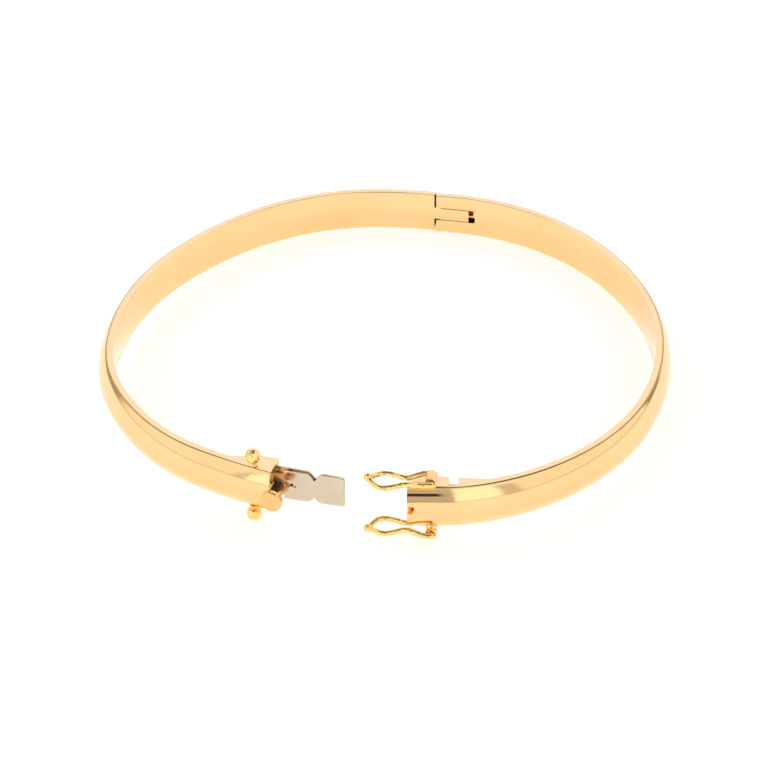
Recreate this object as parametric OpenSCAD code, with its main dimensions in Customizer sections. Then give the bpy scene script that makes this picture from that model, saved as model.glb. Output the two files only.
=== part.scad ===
// Oval hinged bangle, standing open on its side: two hollow halves, a pin hinge at the back, and at the
// front a folded spring tongue that slides into a box, with a thumb button and two safety catches.
// Millimetres. +Z is up from the surface that the bangle lies on, and the clasp faces -Y.
// The pieces are drawn as the closed bangle has them, with the seam on x = 0, then swung open and set down.

/* [Band] */
// Height of the band
band_height = 4.7; // [4.6:0.05:4.9]
// Depth of the flat rim, from the inner wall to the dome
rim_depth = 0.78; // [0.74:0.01:0.82]
// Rise of the domed outside beyond the rim
dome_rise = 0.88; // [0.84:0.01:0.9]
// Thickness of the hollow band's metal
metal = 0.3; // [0.24:0.01:0.32]
// Gap between the ends of the two closed halves
seam_gap = 0.08; // [0.04:0.01:0.1]

/* [Hinge] */
// How far the bangle stands open, in degrees
open_angle = 12.9; // [11:0.1:13.1]
// Distance of the pin's axis from the seam, inside the right half
pin_along = 0.86; // [0.82:0.01:0.9]
// Distance of the pin's axis out from the inner wall
pin_out = 0.8; // [0.78:0.01:0.82]
// Radius of the hinge pin
pin_radius = 0.24; // [0.2:0.01:0.26]
// Radius of the knuckle round the pin
knuckle_radius = 0.44; // [0.42:0.01:0.45]
// Clearance between the pin and the knuckle
pin_clearance = 0.04; // [0.02:0.005:0.05]
// Height at which the hinge tab starts
tab_low = 1.58; // [1.5:0.01:1.65]
// Height of the hinge tab
tab_height = 1.46; // [1.36:0.02:1.5]
// Reach of the hinge tab into the right half
tab_length = 3.8; // [3.4:0.1:4]
// Thickness of the hinge tab
tab_metal = 0.25; // [0.2:0.01:0.26]
// Length of the slot that takes the hinge tab
slot_length = 4.55; // [4.4:0.05:4.7]

/* [Clasp boxes] */
// Distance of the boxes' inner face from the middle of the bangle, at the seam
box_face = 28.4; // [28.36:0.02:28.5]
// How much further in the left half's box stands
left_box_step = 0.45; // [0.3:0.05:0.5]
// How far the left half's front end stops short of the seam
left_end_step = 0.28; // [0.2:0.02:0.3]
// Length of the box on the right half
right_box_length = 8.2; // [8:0.1:8.4]
// Length of the box on the left half
left_box_length = 2.6; // [2.4:0.1:2.8]
// Thickness of the boxes' inner plate
plate_metal = 0.15; // [0.14:0.01:0.2]
// Thickness of metal over and under the tongue's channel
channel_wall = 0.3; // [0.28:0.01:0.34]
// Length of the tongue's channel in the right half
channel_length = 7.3; // [7.2:0.05:7.4]
// Depth of the recess that holds the tongue's root in the left half
recess_length = 2.7; // [2.6:0.05:2.8]
// Thickness of the lip that the spring leaf snaps behind
lip_metal = 0.55; // [0.45:0.01:0.6]
// Width of the notch in the top and bottom of the right box
notch_width = 1; // [0.8:0.05:1.2]
// Depth of those notches, down from the rim
notch_depth = 0.9; // [0.6:0.05:1]

/* [Tongue] */
// Height of the tongue's upper edge
tongue_high = 4.3; // [4.2:0.05:4.3]
// Height of the tongue's lower edge
tongue_low = 1; // [0.8:0.05:1.2]
// Thickness of each leaf of the tongue
leaf_metal = 0.18; // [0.16:0.01:0.18]
// Reach of the tongue past the seam
tongue_reach = 7.1; // [6.9:0.05:7.15]
// Gap between the leaves at the spring leaf's free end
leaf_gap = 0.55; // [0.53:0.01:0.57]
// Depth of the V notch in the tongue's upper edge
waist_depth = 0.76; // [0.4:0.02:0.8]

/* [Thumb button] */
// Diameter of the thumb button
button_diameter = 2.3; // [2:0.05:2.4]
// Thickness of the thumb button
button_metal = 0.55; // [0.4:0.05:0.6]
// Height of the middle of the thumb button
button_height = 2.4; // [2.3:0.05:2.45]
// Radius of the button's stem
stem_radius = 0.3; // [0.25:0.01:0.32]

/* [Safety catches and studs] */
// Distance of the catch tubes' axis from the seam
catch_pivot = 2.5; // [2.4:0.05:2.6]
// Height of the catch tubes' axis over the rim
catch_rise = 0.78; // [0.76:0.01:0.82]
// Outer radius of the catch tubes
tube_radius = 0.6; // [0.56:0.01:0.62]
// Length of the catch tubes
tube_length = 1.5; // [1.4:0.05:1.55]
// Radius of the catches' wire
wire_radius = 0.33; // [0.3:0.01:0.34]
// Radius of the balls on the catches' tips
tip_radius = 0.48; // [0.44:0.01:0.5]
// Radius of the ball studs
stud_radius = 0.83; // [0.78:0.01:0.83]
// Height of the ball studs' middle over the rim
stud_rise = 1.14; // [1.14:0.01:1.24]
// Radius of the ball studs' pegs
peg_radius = 0.3; // [0.25:0.01:0.32]

/* [Hidden] */
$fn = 96;

// The inner wall of each half is a run of tangent arcs from the hinge to the clasp. Each row is an arc: its
// radius and the direction of the wall at its end, whose sine and cosine are round numbers.
RADIUS = 0;
END_X = 1;
END_Y = 2;
right_arcs = [[22.9, 0.96, -0.28], [23.9, 0.8, -0.6], [26.3, 0.6, -0.8], [36.2, 0.28, -0.96], [34.93, 0, -1],
              [35.83, -0.28, -0.96], [27.5, -0.6, -0.8], [27.2, -0.8, -0.6], [22.9, -0.96, -0.28],
              [12.5, -0.99712, -0.07584], [100, -1, 0]];
left_arcs = [[29.8, 0.96, -0.28], [21.35, 0.8, -0.6], [25.8, 0.6, -0.8], [36.9, 0.28, -0.96], [33.79, 0, -1],
             [37.29, -0.28, -0.96], [23.6, -0.6, -0.8], [28.6, -0.8, -0.6], [21.05, -0.96, -0.28],
             [75.3, -1, 0]];
// Where each wall runs straight across, just past the seam at the hinge
right_apex = [-1.17, 30.03];
left_apex = [-1.68, 30.05];

// Sizes that the others follow
band_depth = rim_depth + dome_rise;
dome_radius = (band_height*band_height/4 + dome_rise*dome_rise)/(2*dome_rise);
mid = band_height/2;
seam = seam_gap/2;
wall_at_seam = 30;
far = 125;

// Hinge: the pin's axis, the solid metal round it and the play of the tab
pin = [pin_along, wall_at_seam - 0.03 + pin_out];
pin_end = 0.7;
pin_play = 0.02;
tab_high = tab_low + tab_height;
tab_play = 0.05;
slot_depth = 1.02;
hinge_block = 1.75;
web_start = 0.3;
web_end = 1.5;
web_depth = 0.6;
relief_radius = 0.87;
relief_slope = 35.5;

// Clasp: the boxes' inner face runs along one line when closed, and the tongue lies along it
box_slope = 0.04;
function box_line(x) = -box_face - box_slope*x;
channel_front = [-30.6, -29.8];
recess_front = -30.5;
recess_step = -29.8;
recess_step_height = 2.85;
lip_edge = -29.9;
right_block = 8.6;
left_block = 3.3;
notch_start = 4.2;
notch_front = -30.12;

// Tongue: the inner leaf's face, the fold and the spring leaf's free end
leaf_play = 0.04;
function leaf_line(x) = box_line(x) - plate_metal - leaf_play;
root = -2.5;
fold_radius = 0.22;
roll_radius = 0.1;
wrap_bore = 0.13;
waist_middle = 3.9;
waist_half = 0.8;
fold = [tongue_reach - fold_radius, leaf_line(tongue_reach - fold_radius) - fold_radius];
free_end = 0.7;
free_inner = leaf_line(free_end) - leaf_metal - leaf_gap;
tooth_rise = 0.2;
tooth_length = 0.85;
tooth_low = 2.9;
tooth_high = 3.4;

// Thumb button: where its stem leaves the leaf, and the button's back
stem_start = [1.02, -29.75];
button_middle = 0.25;
button_back = -32.12;
cup_radius = 0.45;

// Catches: the tubes' middle, and one arm of a catch from its pivot to its tip. Each row has the distance
// along the band from the seam, the distance from the catch's middle line and the height over the rim.
catch_middle = -30.3;
ALONG = 0;
ASIDE = 1;
OVER = 2;
catch_arm = [[2.5, 1.15, 0.78], [2, 1.15, 0.74], [1.2, 1.02, 0.62], [0.4, 0.72, 0.48], [-0.1, 0.62, 0.42],
             [-0.6, 0.76, 0.42], [-1.3, 1.1, 0.42], [-2.1, 1.33, 0.42], [-2.8, 1.24, 0.42],
             [-3.3, 0.84, 0.46], [-3.7, 0.36, 0.6], [-4, 0, 0.78]];
wire_sides = 10;
steps = 4;
bore_play = 0.05;
stub_reach = 0.06;
stud = [-2.45, -29.9];
peg_depth = 0.2;

// Rest on the side: the lower stud and the back edge of the right half touch the surface
rest_turn = 17;
rest_dir = [sin(rest_turn), cos(rest_turn)];
rest_centre = [-3.95, 0.4];
stud_open = pin + [cos(open_angle)*(stud.x - pin.x) + sin(open_angle)*(stud.y - pin.y),
                   cos(open_angle)*(stud.y - pin.y) - sin(open_angle)*(stud.x - pin.x)];
back_reach = centre(right_arcs, right_apex, 1)*rest_dir + right_arcs[1][RADIUS] + rim_depth;
rest_tilt = asin((stud_rise + stud_radius)/(back_reach - stud_open*rest_dir));

// Wall of a half: the directions at the ends of arc n, its first knot and its centre
function start_dir(arcs, n) = n == 0 ? [1, 0] : end_dir(arcs, n - 1);
function end_dir(arcs, n) = [arcs[n][END_X], arcs[n][END_Y]];
function outward(dir) = [-dir.y, dir.x];
function knot(arcs, apex, n) = n == 0 ? apex
    : centre(arcs, apex, n - 1) + arcs[n - 1][RADIUS]*outward(end_dir(arcs, n - 1));
function centre(arcs, apex, n) = knot(arcs, apex, n) - arcs[n][RADIUS]*outward(start_dir(arcs, n));
function angle(dir) = atan2(dir.y, dir.x);

// Sets the bangle down on its side, with the middle of its outline over the origin
module set_down() {
    translate([-rest_centre.x, -rest_centre.y, back_reach*sin(rest_tilt)])
        rotate(a = rest_tilt, v = [-rest_dir.y, rest_dir.x, 0]) children();
}

// Swings what belongs to the left half open about the hinge pin
module swing_open() {
    translate(pin) rotate(-open_angle) translate(-pin) children();
}

// Turns the top of the band into its bottom
module underside() {
    translate([0, 0, band_height]) mirror([0, 0, 1]) children();
}

// A prism on a plan, between two heights
module prism(low, high) {
    translate([0, 0, low]) linear_extrude(high - low) children();
}

// Everything to the right of a line along Y
module right_of(x) {
    translate([x, -far/2, -far/2]) cube(far);
}

// Outline of the band, set in by the thickness of its metal
module section(inset = 0) {
    intersection() {
        translate([band_depth - dome_radius, mid]) circle(r = dome_radius - inset, $fn = 400);
        translate([inset, inset]) square([band_depth, band_height - 2*inset]);
    }
}

// One arc of a half, whose section is the child: a wedge cut from a full ring
module arc_piece(arcs, apex, n) {
    from = outward(start_dir(arcs, n));
    to = outward(end_dir(arcs, n));
    translate(centre(arcs, apex, n)) intersection() {
        rotate(180) rotate_extrude($fn = 720) translate([arcs[n][RADIUS], 0]) children();
        linear_extrude(band_height) polygon([[0, 0], far*from, far*(from + to), far*to]);
    }
}

// The band of a half: hollow, but solid at the hinge and round the clasp
module band(arcs, apex, block) {
    difference() {
        intersection() {
            for (n = [0:len(arcs) - 1]) arc_piece(arcs, apex, n) section();
            right_of(seam);
        }
        difference() {
            intersection() {
                for (n = [0:len(arcs) - 1]) arc_piece(arcs, apex, n) section(metal);
                right_of(hinge_block);
            }
            translate([0, -far/2, 0]) cube([block, far/2, band_height]);
        }
    }
}

// Slanted relief on the outside of the right half's hinge end, which lets the square end of the left half
// swing wide open
module hinge_relief() {
    translate([pin.x, pin.y, -1]) rotate(-relief_slope)
        translate([-relief_radius - 2, -0.5, 0]) cube([2, 3, band_height + 2]);
}

// A layer of the right half's wall by the hinge, between two depths from the inner face
module hinge_layer(near, deep, low, high, from, to) {
    intersection() {
        arc_piece(right_arcs, right_apex, 0) translate([near, low]) square([deep - near, high - low]);
        translate([from, 0, 0]) cube([to - from, far, band_height]);
    }
}

// The left half's knuckle round the hinge pin, as the closed bangle has it
module knuckle() {
    arm_start = 0.5;
    intersection() {
        union() {
            translate([-arm_start, 0, tab_low]) cube([arm_start + pin_along, far, tab_height]);
            translate([pin.x, pin.y, tab_low]) cylinder(r = knuckle_radius, h = tab_height);
        }
        arc_piece(right_arcs, right_apex, 0) section();
    }
}

// The hinge tab, flush with the right half's wall as the bangle stands open
module hinge_tab() {
    intersection() {
        union() {
            hinge_layer(0, tab_metal, tab_low, tab_high, -0.1, tab_length);
            hinge_layer(0, web_depth, tab_low, tab_high, web_start, web_end);
        }
        swing_open() hinge_layer(0, 2*band_depth, 0, band_height, -1, far);
    }
}

// Room in the right half for the tab and the knuckle
module hinge_slot() {
    low = tab_low - tab_play;
    high = tab_high + tab_play;
    room = knuckle_radius + 0.06;
    hinge_layer(-1, slot_depth, low, high, -1, slot_length);
    translate([-1, wall_at_seam - 2, low]) cube([1 + pin_along + room, 4, high - low]);
}

// Bore for the hinge pin
module pin_bore(play) {
    translate([pin.x, pin.y, pin_end - play])
        cylinder(r = pin_radius + play, h = band_height - 2*pin_end + pin_radius + 2*play);
}

// Plan of the box on the right half
module right_box_plan() {
    polygon([[seam, box_line(seam)], [right_box_length, box_line(right_box_length)],
             [right_box_length, -29.4], [seam, -30.5]]);
}

// Plan of the box on the left half, mirrored: it slopes into the wall in two steps
module left_box_plan() {
    polygon([[seam, box_line(-seam) + left_box_step],
             [left_box_length, box_line(-left_box_length) + left_box_step],
             [4.2, -28.55], [5.5, -28.82], [4.2, -29.25], [left_block, -29.9], [seam, -30.4]]);
}

// Plan of the tongue's channel in the right half, with the lip at its mouth
module channel_plan() {
    polygon([[-1, box_line(-1) - plate_metal], [channel_length, box_line(channel_length) - plate_metal],
             [channel_length, channel_front[1]], [lip_metal, channel_front[0]], [lip_metal, lip_edge],
             [-1, lip_edge]]);
}

// The recess in the left half, mirrored: deep enough for the stem below, and shallow above it
module recess() {
    prism(channel_wall, recess_step_height) recess_plan(recess_front);
    prism(channel_wall, band_height - channel_wall) recess_plan(recess_step);
}

// Plan of the recess, to a depth
module recess_plan(front) {
    polygon([[-1, box_line(1) - plate_metal], [recess_length, box_line(-recess_length) - plate_metal],
             [recess_length, front], [-1, front]]);
}

// The notch in the top of the right box
module notch() {
    translate([notch_start, notch_front, band_height - notch_depth])
        cube([notch_width, 2, notch_depth + 1]);
}

// The stem's axis: from the spring leaf to the thumb button
module along_stem() {
    run = [button_middle - stem_start.x, button_back - stem_start.y];
    translate([stem_start.x, stem_start.y, button_height])
        rotate([90, 0, angle(run) + 90]) children();
}

// The cup at the seam that the stem slides into
module stem_cup() {
    length = 4;
    along_stem() translate([0, 0, -0.5]) {
        cylinder(r = cup_radius, h = length);
        translate([-3, -cup_radius, 0]) cube([3, 2*cup_radius, length]);
    }
}

// A tube along Y for a catch's pins, on a foot that stands on the rim
module catch_tube() {
    foot_front = -30.6;
    foot_back = catch_middle + tube_length/2;
    foot_width = 0.9;
    translate([catch_pivot, foot_back, band_height + catch_rise]) rotate([90, 0, 0])
        cylinder(r = tube_radius, h = tube_length);
    translate([catch_pivot - foot_width/2, foot_front, band_height - 0.2])
        cube([foot_width, foot_back - foot_front, catch_rise + 0.2]);
}

// Bore of a catch tube
module catch_bore() {
    translate([catch_pivot, catch_middle + tube_length, band_height + catch_rise]) rotate([90, 0, 0])
        cylinder(r = wire_radius + bore_play, h = 2*tube_length);
}

module right_half() {
    color("sandybrown") set_down() difference() {
        union() {
            band(right_arcs, right_apex, right_block);
            prism(0, band_height) right_box_plan();
            catch_tube();
            underside() catch_tube();
        }
        prism(channel_wall, band_height - channel_wall) channel_plan();
        notch();
        underside() notch();
        stem_cup();
        catch_bore();
        underside() catch_bore();
        hinge_slot();
        hinge_relief();
        pin_bore(pin_play);
    }
}

module left_half() {
    color("sandybrown") set_down() difference() {
        union() {
            swing_open() {
                mirror([1, 0, 0]) left_shell();
                knuckle();
            }
            hinge_tab();
        }
        pin_bore(pin_clearance);
    }
}

// The left half as it was before the hinge parts were soldered on, mirrored
module left_shell() {
    difference() {
        union() {
            band(left_arcs, left_apex, left_block);
            prism(0, band_height) left_box_plan();
        }
        recess();
        translate([-1, -far, -1]) cube([1 + seam + left_end_step, far, band_height + 2]);
        peg_hole();
        underside() peg_hole();
    }
}

// Hole for a stud's peg, in the mirrored left half
module peg_hole() {
    play = 0.02;
    translate([-stud.x, stud.y, band_height - peg_depth - play]) cylinder(r = peg_radius + play, h = 1);
}

module hinge_pin() {
    color("goldenrod") set_down() pin_bore(0);
}

// A V notch with rounded shoulders, cut into an edge of the tongue from the left: the edge's height and the
// depth of the notch, which is negative in the lower edge
function waist(edge, depth) = [for (u = [-1:0.125:1])
    [waist_middle + waist_half*u, edge - depth*pow(1 - abs(u), 1.5)]];
function reversed(list) = [for (n = [len(list) - 1:-1:0]) list[n]];

// Outline of the tongue from the front
module tongue_outline() {
    corner = 0.35;
    low_corner = 0.15;
    end = tongue_reach + 0.1;
    rotate([90, 0, 0]) linear_extrude(far, center = true)
        polygon(concat([[root, tongue_low]], waist(tongue_low, -0.7*waist_depth),
                       [[end - low_corner, tongue_low], [end, tongue_low + low_corner],
                        [end, tongue_high - corner], [end - corner, tongue_high]],
                       reversed(waist(tongue_high, waist_depth)), [[root, tongue_high]]));
}

module tongue() {
    leaf_end = fold.x - 0.08;
    neck_start = leaf_end - 0.3;
    color("wheat") set_down() swing_open() intersection() {
        union() {
            prism(0, band_height) polygon([
                [root, leaf_line(root)], [leaf_end, leaf_line(leaf_end)], [leaf_end, fold.y + roll_radius],
                [fold.x, fold.y + roll_radius], [fold.x, fold.y], [neck_start, fold.y],
                [neck_start, leaf_line(neck_start) - leaf_metal], [root, leaf_line(root) - leaf_metal]
            ]);
            translate(fold) cylinder(r = roll_radius, h = band_height);
        }
        tongue_outline();
    }
}

module spring_leaf() {
    wrap_end = 0.02;
    color("wheat") set_down() swing_open() {
        intersection() {
            prism(0, band_height) difference() {
                union() {
                    translate(fold) difference() {
                        circle(r = fold_radius);
                        translate([-1, 0]) square([1 - wrap_end, 1]);
                    }
                    polygon([[free_end, free_inner], [fold.x - wrap_bore, fold.y - 0.04],
                             [fold.x, fold.y - 0.04], [fold.x, fold.y - fold_radius],
                             [free_end, free_inner - leaf_metal]]);
                }
                translate(fold) circle(r = wrap_bore);
            }
            tongue_outline();
        }
        tooth();
    }
}

// The raised tooth near the leaf's free end, which snaps behind the lip
module tooth() {
    start = free_end + 0.05;
    outer = free_inner - leaf_metal;
    prism(tooth_low, tooth_high) polygon([[start, outer + 0.05], [start + tooth_length, outer + 0.05],
                                          [start, outer - tooth_rise]]);
}

module thumb_button() {
    edge = 0.18;
    play = 0.02;
    leaf_front = free_inner - leaf_metal - play;
    color("sandybrown") set_down() swing_open() {
        intersection() {
            along_stem() cylinder(r = stem_radius, h = 2.5);
            translate([-far/2, button_back - edge, 0]) cube([far, leaf_front - button_back + edge, far]);
        }
        translate([button_middle, button_back, button_height]) rotate([90, 0, 0]) rotate_extrude() {
            square([button_diameter/2, button_metal - edge]);
            square([button_diameter/2 - edge, button_metal]);
            translate([button_diameter/2 - edge, button_metal - edge]) intersection() {
                circle(r = edge);
                square(edge);
            }
        }
    }
}

// A ball stud on a peg
module ball_stud() {
    set_down() swing_open() translate([stud.x, stud.y, band_height]) {
        translate([0, 0, -peg_depth]) cylinder(r = peg_radius, h = peg_depth + stud_rise);
        translate([0, 0, stud_rise]) sphere(r = stud_radius);
    }
}

module upper_stud() {
    color("gold") ball_stud();
}

// Smooth curve through the rows of a table
function smooth(a, b, c, d, t) = b + (c - a)*t/2 + (2*a - 5*b + 4*c - d)*t*t/2 + (3*b - a - 3*c + d)*t*t*t/2;
last_row = len(catch_arm) - 1;
function arm_point(s) = let (n = min(floor(s), last_row - 1))
    smooth(catch_arm[max(n - 1, 0)], catch_arm[n], catch_arm[n + 1], catch_arm[min(n + 2, last_row)], s - n);
function arm_place(s) = let (p = arm_point(s)) [p[ALONG], catch_middle + p[ASIDE], band_height + p[OVER]];

// One arm of a catch: round wire swept through the table
module catch_arm_wire() {
    count = last_row*steps;
    eps = 0.01;
    rings = [for (i = [0:count]) let (
        s = i/steps,
        at = arm_place(s),
        ahead = arm_place(min(s + eps, last_row)) - arm_place(max(s - eps, 0)),
        along = ahead/norm(ahead),
        side = cross([0, 0, 1], along)/norm(cross([0, 0, 1], along)),
        up = cross(along, side)
    ) [for (k = [0:wire_sides - 1]) let (turn = 360*k/wire_sides)
        at + wire_radius*(cos(turn)*side + sin(turn)*up)]];
    points = [for (ring = rings) for (p = ring) p];
    faces = [
        for (i = [0:count - 1]) for (k = [0:wire_sides - 1]) let (j = (k + 1)%wire_sides)
            [i*wire_sides + k, (i + 1)*wire_sides + k, (i + 1)*wire_sides + j, i*wire_sides + j],
        [for (k = [0:wire_sides - 1]) k],
        [for (k = [wire_sides - 1:-1:0]) count*wire_sides + k]
    ];
    polyhedron(points, faces);
}

// Half of a catch: an arm, the elbow at its pivot and the pin that turns in the tube
module catch_side() {
    elbow = arm_place(0);
    catch_arm_wire();
    translate(elbow) sphere(r = wire_radius + 0.02);
    translate([elbow.x, elbow.y, elbow.z]) rotate([90, 0, 0])
        cylinder(r = wire_radius, h = elbow.y - catch_middle - stub_reach);
}

module safety_catch() {
    catch_side();
    translate([0, 2*catch_middle, 0]) mirror([0, 1, 0]) catch_side();
    translate(arm_place(last_row)) sphere(r = tip_radius);
}

module upper_catch() {
    color("gold") set_down() safety_catch();
}

module lower_catch() {
    color("gold") set_down() underside() safety_catch();
}

module lower_stud() {
    color("gold") set_down() swing_open() underside() translate([stud.x, stud.y, band_height]) {
        translate([0, 0, -peg_depth]) cylinder(r = peg_radius, h = peg_depth + stud_rise);
        translate([0, 0, stud_rise]) sphere(r = stud_radius);
    }
}

right_half();
left_half();
hinge_pin();
tongue();
spring_leaf();
thumb_button();
upper_stud();
lower_stud();
upper_catch();
lower_catch();
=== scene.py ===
"""Oval hinged gold bangle, standing open on its side, with a folded tongue clasp and two safety catches.

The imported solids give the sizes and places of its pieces. This script dresses them: fine bevels and polish
on the two halves, hammered wire, textured studs, a worn white gold tongue, and the light they are seen in.
Metres; +Z is up and the clasp faces -Y.
"""
import math

import bmesh
import bpy
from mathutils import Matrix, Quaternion, Vector

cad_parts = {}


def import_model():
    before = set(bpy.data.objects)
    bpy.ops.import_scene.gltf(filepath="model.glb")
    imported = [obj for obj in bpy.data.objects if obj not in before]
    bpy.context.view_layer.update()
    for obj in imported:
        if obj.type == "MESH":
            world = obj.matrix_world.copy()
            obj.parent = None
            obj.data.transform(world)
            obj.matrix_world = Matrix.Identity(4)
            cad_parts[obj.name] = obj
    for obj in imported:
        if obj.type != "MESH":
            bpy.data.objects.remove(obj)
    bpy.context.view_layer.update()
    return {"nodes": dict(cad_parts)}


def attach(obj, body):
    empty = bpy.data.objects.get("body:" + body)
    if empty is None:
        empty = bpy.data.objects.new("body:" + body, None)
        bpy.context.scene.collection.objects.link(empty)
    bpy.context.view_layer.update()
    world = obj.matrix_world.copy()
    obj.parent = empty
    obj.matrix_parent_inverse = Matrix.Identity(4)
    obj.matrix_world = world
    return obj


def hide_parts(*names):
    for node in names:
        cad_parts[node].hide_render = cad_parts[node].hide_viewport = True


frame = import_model()
scene = bpy.context.scene

MM = 0.001

# Camera, from where the bangle is seen
CAMERA_PLACE = Vector((22.23, -319.0, 212.69))*MM
CAMERA_AIM = Vector((0.81, -5.55, 1.16))*MM
CAMERA_LEAN = math.radians(-0.899)
CAMERA_LENS = 161.1
CAMERA_SENSOR = 36
CAMERA_NEAR = 10*MM

# White floor, and the lamp over it, which no surface mirrors
FLOOR_SIZE = 3.0
FLOOR_WHITE = (0.93, 0.93, 0.93, 1)
FLOOR_ROUGHNESS = 0.6
LAMP_SIZE = 0.8
LAMP_PLACE = Vector((-0.1, 0.1, 0.9))
LAMP_POWER = 5.5

# The white studio: its own light, and what stands round the bangle and shows in its polish. Each has its
# azimuth from the front (+ is right), half width and softness, then its elevation, half height and
# softness, all in degrees, and how much darker than white it is (negative is brighter).
STUDIO_LIGHT = 1.05
STUDIO = {
    "horizon": (0, 180, 10, 0.5, 1, 2.5, 0.25),
    "dark ceiling": (0, 180, 10, 80, 24, 8, 0.85),
    "dark stand at the back left": (-128, 8, 12, 6, 8, 4, 0.6),
    "dark stand at the back right": (131, 4, 5, 6, 8, 4, 0.65),
    "black card in front": (0, 5, 2, 24.5, 3.8, 2, 0.92),
    "grey card in front": (1, 9, 3, 22, 24, 6, 0.45),
    "bright card on the right": (25.5, 14.5, 3, 22, 22, 6, -0.3),
    "grey card beside it": (45, 3, 4, 18, 14, 8, 0.32),
    "bright card on the left": (-36, 5, 3, 22, 22, 6, -0.3),
    "narrow bright card beside it": (-48.5, 2, 1.5, 24, 22, 6, -0.3),
    "grey edge of that card": (-51.9, 0.5, 0.9, 14, 12, 4, 0.32),
}

# How far the edges are broken, and in how many steps: the line between rim and dome, the rim's inner edge,
# and the leaves' edges
BORDER_BREAK = 0.1*MM
RIM_BREAK = 0.07*MM
LEAF_BREAK = 0.03*MM
BREAK_STEPS = 2

# Between these places beside the clasp the rounded line between rim and dome, and with it its painted dark
# reflection, is narrowed to a share of its width
NARROWED_FROM, NARROWED_TO = -15*MM, 10*MM
NARROWED_SHARE = 0.4
NARROWED_FADE = 8*MM

# Up along the band, which leans a little. The rest are cosines that tell its faces apart.
BAND_UP = Vector((0.00941, 0.03077, 0.99948))
LEVEL = 0.9999  # of a flat that is shaded level, at least
RIM_LEVEL = 0.999  # of the rim's flat where its edges are sought, at least
DOME_STEEPEST, DOME_FLATTEST = 0.5, 0.8  # of the dome where it meets the rim
WALL_LEAN = 0.05  # of the upright inner wall, at most
FACING_IN = 0.7  # between that wall and the way to the middle, at least

# Limits that the meshes are worked to
SAME_CORNER = 0.0005*MM  # corners this close are joined
SAME_FLAT = math.radians(0.3)  # faces this near in angle are one flat
SHARP = math.radians(30)  # a leaf's edges are broken from this angle on
SMOOTH = math.radians(40)  # edges are shaded crisp from this angle on
SHORTEST = 0.15*MM  # shorter edges are not rounded
BROAD = 1*MM*MM  # larger flats are the rim's

# The material slots on a half after its own gold
BORDER_SLOT = 1
RIM_SLOT = 2

# The collars at the studs' feet: where they stand, in millimetres, and their wire
STUD_FEET = {"upper": (-11.91, -27.865, 6.837), "lower": (-11.957, -28.02, 1.8)}
COLLAR_RADIUS = 0.38*MM
COLLAR_WIRE = 0.14*MM
COLLAR_SIDES = 48
COLLAR_WIRE_SIDES = 16

# Cast pieces: the grain they are melted at, the depth and size of their dents, and how they are rubbed
STUD_GRAIN = 0.045*MM
STUD_DENT = 0.06*MM
STUD_DENT_SIZE = 0.35*MM
WIRE_GRAIN = 0.06*MM
WIRE_DENT = 0.07*MM
WIRE_DENT_SIZE = 0.5*MM
RUBBING = 0.5
RUBS = 3

# Finishes. Grains are in features per metre, and a span is the part of its noise that a finish uses.
TONE_GRAIN = 160
TONE_SPAN = (0.3, 0.7)
WEAR_GRAIN = 420
WEAR_SPAN = (0.35, 0.7)
SCRATCH_GRAIN = 5200
SCRATCH_RUN = (1.0, 1.0, 0.06)  # long up the band
SCRATCH_DEPTH = 0.004*MM
MARK_GRAIN = 3200
MARK_SOLID, MARK_GONE = 1.1, 1.5  # in sizes of the mark
DISPLAY_GAMMA = 2.2


def linear(r, g, b):
    """A display colour, 0 to 255, as the scene-linear colour that shaders take."""
    return tuple((c/255)**DISPLAY_GAMMA for c in (r, g, b)) + (1.0,)


# Painted coppery reflection and painted dark shadows by the punched tooth and the stem on the spring leaf,
# and painted shade darkening the slot beyond the hinge tab: place and size in millimetres, and colour
LEAF_PAINTED_SHADE_AND_REFLECTION = [
    ((-8.22, -28.34, 6.0), 0.26, linear(200, 140, 84)),
    ((-7.97, -28.42, 4.7), 0.24, linear(84, 60, 38)),
    ((-7.62, -28.5, 4.53), 0.15, linear(104, 80, 56)),
]
# Painted shade, darkening the slot beyond the hinge tab in the band's gold
SLOT_PAINTED_SHADE = [((8.217, 29.645, 2.316), 0.38, linear(60, 34, 12))]


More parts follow.
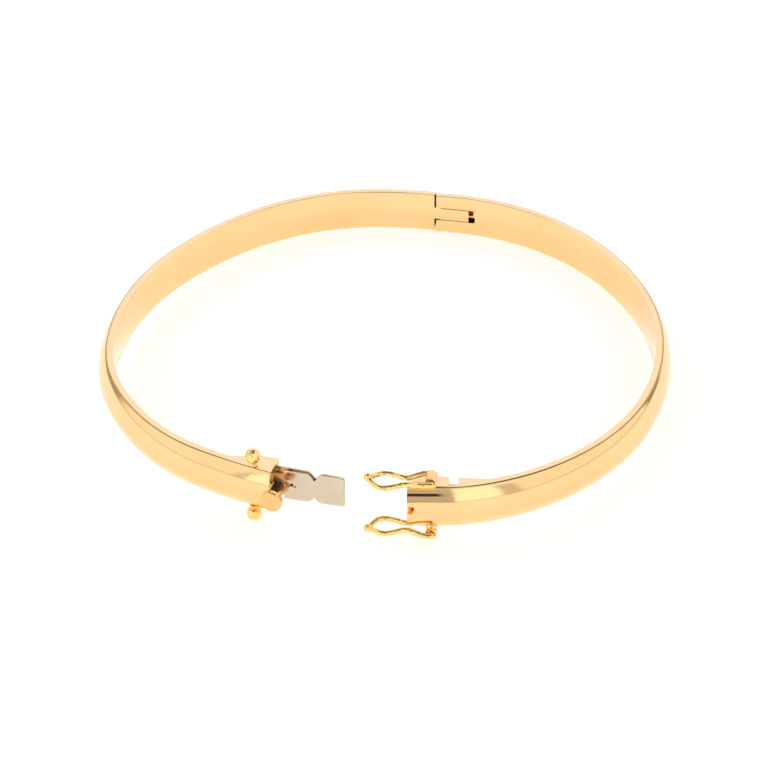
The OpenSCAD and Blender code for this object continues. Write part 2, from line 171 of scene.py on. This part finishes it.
# Shader trees
class Tree:
    """A material's node tree, with short calls for the nodes that the finishes share."""

    def __init__(self, name):
        self.material = bpy.data.materials.new(name)
        self.material.use_nodes = True
        self.nodes = self.material.node_tree.nodes
        self.links = self.material.node_tree.links
        self.shader = self.nodes["Principled BSDF"]
        self.place = self.add("ShaderNodeTexCoord").outputs["Object"]

    def add(self, kind, **values):
        node = self.nodes.new(kind)
        for key, value in values.items():
            setattr(node, key, value)
        return node

    def link(self, out, into):
        self.links.new(out, into)

    def noise(self, scale, detail=3.0, rough=0.5, stretch=None):
        """Noise in the object's own metres: scale is in features per metre."""
        place = self.place
        if stretch:
            mapping = self.add("ShaderNodeMapping")
            mapping.inputs["Scale"].default_value = stretch
            self.link(place, mapping.inputs["Vector"])
            place = mapping.outputs["Vector"]
        node = self.add("ShaderNodeTexNoise")
        self.link(place, node.inputs["Vector"])
        node.inputs["Scale"].default_value = scale
        node.inputs["Detail"].default_value = detail
        node.inputs["Roughness"].default_value = rough
        return node.outputs["Fac"]

    def ramp(self, fac, stops):
        """A colour ramp: stops are (position, colour)."""
        node = self.add("ShaderNodeValToRGB")
        self.link(fac, node.inputs["Fac"])
        for point, (at, colour) in zip(node.color_ramp.elements, stops):
            point.position = at
            point.color = colour
        return node.outputs["Color"]

    def span(self, value, low, high, out_low, out_high):
        node = self.add("ShaderNodeMapRange")
        self.link(value, node.inputs["Value"])
        limits = {"From Min": low, "From Max": high, "To Min": out_low, "To Max": out_high}
        for key, number in limits.items():
            node.inputs[key].default_value = number
        return node.outputs["Result"]

    def mark(self, tone, place, size, colour):
        """A soft-edged, ragged spot of another colour round a place, both in millimetres."""
        size = size*MM
        away = self.add("ShaderNodeVectorMath", operation="DISTANCE")
        self.link(self.place, away.inputs[0])
        away.inputs[1].default_value = Vector(place)*MM
        reach = self.add("ShaderNodeMath", operation="MULTIPLY_ADD")
        self.link(self.noise(MARK_GRAIN), reach.inputs[0])
        reach.inputs[1].default_value = size
        self.link(away.outputs["Value"], reach.inputs[2])
        spot = self.span(reach.outputs[0], MARK_SOLID*size, MARK_GONE*size, 1.0, 0.0)
        mix = self.add("ShaderNodeMix", data_type="RGBA")
        self.link(spot, mix.inputs["Factor"])
        self.link(tone, mix.inputs["A"])
        mix.inputs["B"].default_value = colour
        return mix.outputs["Result"]

    def bump(self, height, distance, strength=1.0, before=None):
        node = self.add("ShaderNodeBump")
        node.inputs["Distance"].default_value = distance
        node.inputs["Strength"].default_value = strength
        self.link(height, node.inputs["Height"])
        if before is not None:
            self.link(before, node.inputs["Normal"])
        return node.outputs["Normal"]


def gold(name, bright, deep, rough, dent=0.0, dent_grain=900, scratch=0.25, marks=()):
    """Polished gold: a slow change of tone, wear in its polish, fine scratches, and spots of painted light
    at places.

    rough holds the roughness where the polish is best and where it is worn.
    """
    t = Tree(name)
    t.shader.inputs["Metallic"].default_value = 1.0
    tone = t.ramp(t.noise(TONE_GRAIN, detail=4.0), zip(TONE_SPAN, (deep, bright)))
    for place, size, colour in marks:
        tone = t.mark(tone, place, size, colour)
    t.link(tone, t.shader.inputs["Base Color"])
    wear = t.noise(WEAR_GRAIN, detail=5.0, rough=0.6)
    t.link(t.span(wear, *WEAR_SPAN, *rough), t.shader.inputs["Roughness"])
    lines = t.noise(SCRATCH_GRAIN, detail=2.0, stretch=SCRATCH_RUN)
    normal = t.bump(lines, SCRATCH_DEPTH, scratch)
    if dent:
        normal = t.bump(t.noise(dent_grain, detail=2.0), dent, before=normal)
    t.link(normal, t.shader.inputs["Normal"])
    return t.material


BAND_GOLD = gold("polished_gold", linear(254, 214, 155), linear(253, 208, 145), rough=(0.04, 0.1),
                 scratch=0.12, marks=SLOT_PAINTED_SHADE)
# A paler copy of the gold for the rim's broad flats and inner edge: painted light on the faces that look up
RIM_PAINTED_LIGHT_GOLD = gold("rim_painted_light", linear(255, 221, 178), linear(253, 215, 166), rough=(0.1, 0.2), scratch=0.2)
# A darker copy of the gold for the rounded line between rim and dome: painted dark reflection on that edge
BORDER_PAINTED_REFLECTION_GOLD = gold("border_painted_reflection", linear(206, 158, 98), linear(190, 142, 84), rough=(0.2, 0.35))
WIRE_GOLD = gold("wire_gold", linear(255, 230, 158), linear(252, 210, 128), rough=(0.16, 0.34),
                 dent=0.16*MM, dent_grain=1100)
STUD_GOLD = gold("stud_gold", linear(255, 228, 150), linear(246, 202, 116), rough=(0.14, 0.34),
                 dent=0.16*MM, dent_grain=1700)
BUTTON_GOLD = gold("button_gold", linear(254, 208, 146), linear(244, 192, 124), rough=(0.1, 0.22))
TONGUE_GOLD = gold("white_gold", linear(230, 213, 190), linear(212, 192, 164), rough=(0.14, 0.3),
                   dent=0.012*MM, dent_grain=2400, scratch=0.8, marks=LEAF_PAINTED_SHADE_AND_REFLECTION)
PIN_GOLD = gold("pin_gold", linear(246, 204, 140), linear(230, 184, 120), rough=(0.2, 0.35))

FINISHES = {
    "right_half": BAND_GOLD, "left_half": BAND_GOLD, "hinge_pin": PIN_GOLD, "tongue": TONGUE_GOLD,
    "spring_leaf": TONGUE_GOLD, "thumb_button": BUTTON_GOLD, "upper_stud": STUD_GOLD,
    "lower_stud": STUD_GOLD, "upper_catch": WIRE_GOLD, "lower_catch": WIRE_GOLD,
}
for node_name, finish in FINISHES.items():
    mesh = frame["nodes"][node_name].data
    mesh.materials.clear()
    mesh.materials.append(finish)


# Dressed copies of the solids
def merged_copy(node_name, name):
    """A copy of a solid's mesh, with the loose triangles joined at their corners."""
    mesh = frame["nodes"][node_name].data.copy()
    mesh.name = name
    bm = bmesh.new()
    bm.from_mesh(mesh)
    bmesh.ops.remove_doubles(bm, verts=bm.verts, dist=SAME_CORNER)
    bmesh.ops.dissolve_degenerate(bm, edges=bm.edges, dist=SAME_CORNER)
    bm.to_mesh(mesh)
    bm.free()
    obj = bpy.data.objects.new(name, mesh)
    scene.collection.objects.link(obj)
    return obj


def baked(obj):
    """The plain mesh that an object's modifiers give. The modifiers themselves are taken off."""
    depsgraph = bpy.context.evaluated_depsgraph_get()
    mesh = bpy.data.meshes.new_from_object(obj.evaluated_get(depsgraph), depsgraph=depsgraph)
    obj.modifiers.clear()
    return mesh


def dress(obj, body, slot, *nodes):
    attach(obj, body)
    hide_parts(*nodes)


def edge_bevel(obj, width, method):
    """A bevel modifier on the edges that a method picks, one angle or each edge's weight."""
    bevel = obj.modifiers.new("edges", "BEVEL")
    bevel.width = width
    bevel.segments = BREAK_STEPS
    bevel.limit_method = method
    return bevel


def rounded(obj, share, width, finish):
    """Rounds each edge by its own share of the width, and gives the new faces the finish in a slot."""
    bm = bmesh.new()
    bm.from_mesh(obj.data)
    bmesh.ops.dissolve_limit(bm, angle_limit=SAME_FLAT, verts=bm.verts, edges=bm.edges)
    bm.normal_update()
    layers = bm.edges.layers.float
    weight = layers.get("bevel_weight_edge") or layers.new("bevel_weight_edge")
    for edge in bm.edges:
        long = len(edge.link_faces) == 2 and edge.calc_length() > SHORTEST
        edge[weight] = share(edge) if long else 0.0
    bm.to_mesh(obj.data)
    bm.free()
    bevel = edge_bevel(obj, width, "WEIGHT")
    bevel.use_clamp_overlap = False
    bevel.material = finish
    obj.data = baked(obj)


def levelled(obj):
    """Gives level flats one straight normal, broad ones the rim's paler gold of painted light, and smooths
    the rest.
    """
    mesh = obj.data
    mesh.set_sharp_from_angle(angle=SMOOTH)
    normals = [Vector()]*len(mesh.loops)
    for face in mesh.polygons:
        lean = face.normal.dot(BAND_UP)
        face.use_smooth = abs(lean) < LEVEL
        if face.use_smooth:
            continue
        for corner in face.loop_indices:
            normals[corner] = BAND_UP*math.copysign(1, lean)
        if face.area > BROAD:
            face.material_index = RIM_SLOT
    mesh.normals_split_custom_set(normals)


def wall_at_rim(edge):
    """The normal of the face beside the rim's flat, or nothing for an edge away from that flat."""
    wall, rim = sorted((f.normal for f in edge.link_faces), key=lambda n: abs(n.dot(BAND_UP)))
    return wall if abs(rim.dot(BAND_UP)) > RIM_LEVEL else None


def middle_of(edge):
    return (edge.verts[0].co + edge.verts[1].co)/2


def border_share(edge):
    """The share of the rounding for an edge between the rim's flat and the dome, and 0 for another."""
    wall = wall_at_rim(edge)
    if wall is None or not DOME_STEEPEST < abs(wall.dot(BAND_UP)) < DOME_FLATTEST:
        return 0.0
    middle = middle_of(edge)
    if middle.y > 0:
        return 1.0
    away = max(NARROWED_FROM - middle.x, middle.x - NARROWED_TO, 0.0)
    return min(1.0, NARROWED_SHARE + away/NARROWED_FADE)


def inner_share(edge):
    """The same for an edge between the rim's flat and the inner wall."""
    wall = wall_at_rim(edge)
    if wall is None or abs(wall.dot(BAND_UP)) > WALL_LEAN:
        return 0.0
    return float(wall.xy.dot(-middle_of(edge).xy.normalized()) > FACING_IN)


def polished_band(node_name, name, body):
    """A half of the bangle, with its rim's edges broken, a painted dark reflection on the line beside its
    dome, and its rim painted lighter.
    """
    obj = merged_copy(node_name, name)
    obj.data.materials.append(BORDER_PAINTED_REFLECTION_GOLD)
    obj.data.materials.append(RIM_PAINTED_LIGHT_GOLD)
    rounded(obj, border_share, BORDER_BREAK, BORDER_SLOT)
    rounded(obj, inner_share, RIM_BREAK, RIM_SLOT)
    levelled(obj)
    dress(obj, body, "yellow_gold", node_name)


def worn_leaf(node_name, name, body):
    """A leaf of the tongue, with its sharp edges broken."""
    obj = merged_copy(node_name, name)
    bevel = edge_bevel(obj, LEAF_BREAK, "ANGLE")
    bevel.angle_limit = SHARP
    obj.data = baked(obj)
    obj.data.set_sharp_from_angle(angle=SMOOTH)
    dress(obj, body, "white_gold", node_name)


def cast(node_name, name, body, grain, dent, dent_size, extra=()):
    """A cast and hand-finished piece: melted together, rubbed, then dented a little, always inwards."""
    obj = merged_copy(node_name, name)
    if extra:
        bm = bmesh.new()
        bm.from_mesh(obj.data)
        for mesh in extra:
            bm.from_mesh(mesh)
        bm.to_mesh(obj.data)
        bm.free()
    remesh = obj.modifiers.new("melted", "REMESH")
    remesh.mode = "VOXEL"
    remesh.voxel_size = grain
    smooth = obj.modifiers.new("rubbed", "SMOOTH")
    smooth.factor = RUBBING
    smooth.iterations = RUBS
    clouds = bpy.data.textures.new(name + "_dents", "CLOUDS")
    clouds.noise_scale = dent_size
    clouds.noise_depth = 1
    hammer = obj.modifiers.new("hammered", "DISPLACE")
    hammer.texture = clouds
    hammer.strength = -dent
    hammer.mid_level = 0.0
    obj.data = baked(obj)
    obj.data.shade_smooth()
    dress(obj, body, "yellow_gold", node_name)


def collar_tree():
    """Geometry nodes that set a ring of wire at each foot, square to the band.

    Returns the tree and the identifiers of its named inputs.
    """
    tree = bpy.data.node_groups.new("collars", "GeometryNodeTree")
    named = {}
    for name, kind in (("Feet", "Geometry"), ("Ring radius", "Float"), ("Wire radius", "Float"),
                       ("Finish", "Material")):
        socket = tree.interface.new_socket(name, in_out="INPUT", socket_type="NodeSocket" + kind)
        named[name] = socket.identifier
    tree.interface.new_socket("Collars", in_out="OUTPUT", socket_type="NodeSocketGeometry")
    source = tree.nodes.new("NodeGroupInput").outputs

    def step(kind, **values):
        node = tree.nodes.new(kind)
        for key, value in values.items():
            socket = node.inputs[key.replace("_", " ")]
            if isinstance(value, bpy.types.NodeSocket):
                tree.links.new(value, socket)
            else:
                socket.default_value = value
        return node

    circle = "GeometryNodeCurvePrimitiveCircle"
    ring = step(circle, Resolution=COLLAR_SIDES, Radius=source["Ring radius"])
    wire = step(circle, Resolution=COLLAR_WIRE_SIDES, Radius=source["Wire radius"])
    swept = step("GeometryNodeCurveToMesh", Curve=ring.outputs["Curve"],
                 Profile_Curve=wire.outputs["Curve"])
    square = step("FunctionNodeAlignRotationToVector", Vector=BAND_UP)
    square.axis = "Z"
    placed = step("GeometryNodeInstanceOnPoints", Points=source["Feet"], Instance=swept.outputs["Mesh"],
                  Rotation=square.outputs["Rotation"])
    real = step("GeometryNodeRealizeInstances", Geometry=placed.outputs["Instances"])
    dressed = step("GeometryNodeSetMaterial", Geometry=real.outputs["Geometry"],
                   Material=source["Finish"])
    tree.links.new(dressed.outputs["Geometry"], tree.nodes.new("NodeGroupOutput").inputs["Collars"])
    return tree, named


def collar(foot, tree, named):
    """The ring at a stud's foot, as a mesh in the part's own frame."""
    point = bpy.data.meshes.new("foot")
    point.from_pydata([Vector(foot)*MM], [], [])
    obj = bpy.data.objects.new("foot", point)
    scene.collection.objects.link(obj)
    ring = obj.modifiers.new("collar", "NODES")
    ring.node_group = tree
    ring[named["Ring radius"]] = COLLAR_RADIUS
    ring[named["Wire radius"]] = COLLAR_WIRE
    ring[named["Finish"]] = STUD_GOLD
    mesh = baked(obj)
    bpy.data.objects.remove(obj)
    bpy.data.meshes.remove(point)
    return mesh


polished_band("right_half", "right_band", "right")
polished_band("left_half", "left_band", "left")
worn_leaf("tongue", "worn_tongue", "left")
worn_leaf("spring_leaf", "worn_spring", "leaf")
collars, collar_inputs = collar_tree()
for end, foot in STUD_FEET.items():
    cast(end + "_stud", end + "_ball", "left", STUD_GRAIN, STUD_DENT, STUD_DENT_SIZE,
         extra=[collar(foot, collars, collar_inputs)])
    cast(end + "_catch", end + "_wire", end + "_catch", WIRE_GRAIN, WIRE_DENT, WIRE_DENT_SIZE)


# Floor, light and camera
def floor():
    bpy.ops.mesh.primitive_plane_add(size=FLOOR_SIZE, location=(0, 0, 0))
    plane = bpy.context.object
    plane.name = "floor"
    t = Tree("floor_white")
    t.shader.inputs["Base Color"].default_value = FLOOR_WHITE
    t.shader.inputs["Roughness"].default_value = FLOOR_ROUGHNESS
    plane.data.materials.append(t.material)


def lamp():
    """One broad lamp over the floor, aimed at the bangle, with no shadow and no reflection of its own."""
    light = bpy.data.lights.new("key", "AREA")
    light.shape = "RECTANGLE"
    light.size = LAMP_SIZE
    light.size_y = LAMP_SIZE
    light.energy = LAMP_POWER
    light.use_shadow = False
    obj = bpy.data.objects.new("key", light)
    scene.collection.objects.link(obj)
    obj.location = LAMP_PLACE
    obj.rotation_euler = (-LAMP_PLACE).to_track_quat("-Z", "Y").to_euler()
    obj.visible_glossy = False


def world():
    """White all round, darkened and brightened by what stands in the studio."""
    w = bpy.data.worlds.new("studio")
    w.use_nodes = True
    nodes, links = w.node_tree.nodes, w.node_tree.links

    def math_node(operation, a, b=None):
        node = nodes.new("ShaderNodeMath")
        node.operation = operation
        for socket, value in zip(node.inputs, (a, b)):
            if value is None:
                continue
            if isinstance(value, (int, float)):
                socket.default_value = value
            else:
                links.new(value, socket)
        return node.outputs[0]

    def window(value, middle, half, soft):
        """1 within half of the middle, and 0 from soft beyond that."""
        away = math_node("ABSOLUTE", math_node("SUBTRACT", value, middle))
        node = nodes.new("ShaderNodeMapRange")
        node.interpolation_type = "SMOOTHSTEP"
        links.new(away, node.inputs["Value"])
        node.inputs["From Min"].default_value = half
        node.inputs["From Max"].default_value = half + soft
        node.inputs["To Min"].default_value = 1.0
        node.inputs["To Max"].default_value = 0.0
        return node.outputs["Result"]

    axes = nodes.new("ShaderNodeSeparateXYZ")
    links.new(nodes.new("ShaderNodeTexCoord").outputs["Generated"], axes.inputs[0])
    x, y, z = axes.outputs
    degrees = 180/math.pi
    azimuth = math_node("MULTIPLY", math_node("ARCTAN2", x, math_node("MULTIPLY", y, -1.0)), degrees)
    elevation = math_node("MULTIPLY", math_node("ARCSINE", z), degrees)
    light = STUDIO_LIGHT
    for around, wide, soft, up, high, fade, depth in STUDIO.values():
        beside = window(azimuth, around, wide, soft)
        shade = math_node("MULTIPLY", beside, window(elevation, up, high, fade))
        kept = math_node("SUBTRACT", 1.0, math_node("MULTIPLY", shade, depth))
        light = math_node("MULTIPLY", kept, light)
    nodes["Background"].inputs["Color"].default_value = (1, 1, 1, 1)
    links.new(light, nodes["Background"].inputs["Strength"])
    scene.world = w


def camera():
    data = bpy.data.cameras.new("camera")
    data.lens = CAMERA_LENS
    data.sensor_width = CAMERA_SENSOR
    data.clip_start = CAMERA_NEAR
    obj = bpy.data.objects.new("camera", data)
    scene.collection.objects.link(obj)
    obj.location = CAMERA_PLACE
    turn = (CAMERA_AIM - CAMERA_PLACE).to_track_quat("-Z", "Y") @ Quaternion((0, 0, 1), CAMERA_LEAN)
    obj.rotation_mode = "QUATERNION"
    obj.rotation_quaternion = turn
    scene.camera = obj


scene.view_settings.view_transform = "Standard"
floor()
world()
lamp()
camera()
